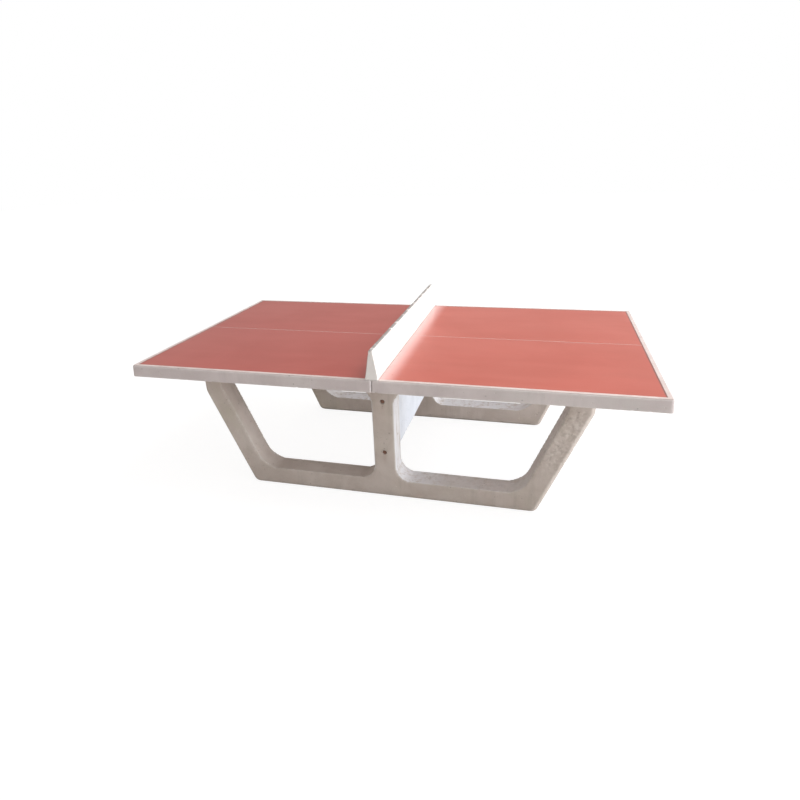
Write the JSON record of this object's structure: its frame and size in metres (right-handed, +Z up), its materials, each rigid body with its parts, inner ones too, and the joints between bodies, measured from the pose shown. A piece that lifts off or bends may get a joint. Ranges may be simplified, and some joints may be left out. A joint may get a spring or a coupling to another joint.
{
  "type": "ping pong table",
  "caption": "Outdoor concrete table-tennis table: red resin court on half tops, solid wedge net, W-shaped side frames bolted to a centre panel.",
  "frame": {"origin": "on the floor, midway between the two side frames and below the net", "axes": "+X along the table's length to the right half, +Z up, -Y towards the front side frame"},
  "size_m": [2.758, 1.543, 0.9375],
  "materials": {
    "concrete": "weathered cast concrete, rounded arrises, small air holes and dirt streaks",
    "slab_concrete": "pale grey cast concrete, smooth mould faces, chipped arris",
    "net_concrete": "white cement concrete, smooth cast faces",
    "panel_paint": "cast concrete with a pale whitewash coat",
    "red_resin": "brick-red roller-applied resin court coating, satin sheen",
    "line_paint": "white court line paint, slightly worn",
    "rusty_steel": "steel with brown surface rust",
    "zinc_steel": "dull hot-dip zinc",
    "pad_rubber": "black bearing rubber"
  },
  "bodies": {
    "root": {"half_top_left": "slab_concrete", "border_line_left": "line_paint", "centre_line_left": "line_paint", "red_field_left_front": "red_resin", "red_field_left_rear": "red_resin", "half_top_right": "slab_concrete", "border_line_right": "line_paint", "centre_line_right": "line_paint", "red_field_right_front": "red_resin", "red_field_right_rear": "red_resin", "net_wall": "net_concrete", "net_rod_front": "zinc_steel", "net_anchor_plate_front": "zinc_steel", "net_nut_front": "zinc_steel", "net_rod_rear": "zinc_steel", "net_anchor_plate_rear": "zinc_steel", "net_nut_rear": "zinc_steel", "side_frame_front": "concrete", "leg_pad_left_front": "pad_rubber", "locating_dowel_left_front": "zinc_steel", "head_pad_left_front": "pad_rubber", "leg_pad_right_front": "pad_rubber", "locating_dowel_right_front": "zinc_steel", "head_pad_right_front": "pad_rubber", "panel_bolt_lower_front": "rusty_steel", "panel_washer_lower_front": "rusty_steel", "panel_socket_lower_front": "zinc_steel", "panel_bolt_upper_front": "rusty_steel", "panel_washer_upper_front": "rusty_steel", "panel_socket_upper_front": "zinc_steel", "side_frame_rear": "concrete", "leg_pad_left_rear": "pad_rubber", "locating_dowel_left_rear": "zinc_steel", "head_pad_left_rear": "pad_rubber", "leg_pad_right_rear": "pad_rubber", "locating_dowel_right_rear": "zinc_steel", "head_pad_right_rear": "pad_rubber", "panel_bolt_lower_rear": "rusty_steel", "panel_washer_lower_rear": "rusty_steel", "panel_socket_lower_rear": "zinc_steel", "panel_bolt_upper_rear": "rusty_steel", "panel_washer_upper_rear": "rusty_steel", "panel_socket_upper_rear": "zinc_steel", "centre_panel": "panel_paint", "panel_pad": "pad_rubber"}
  },
  "joints": []
}
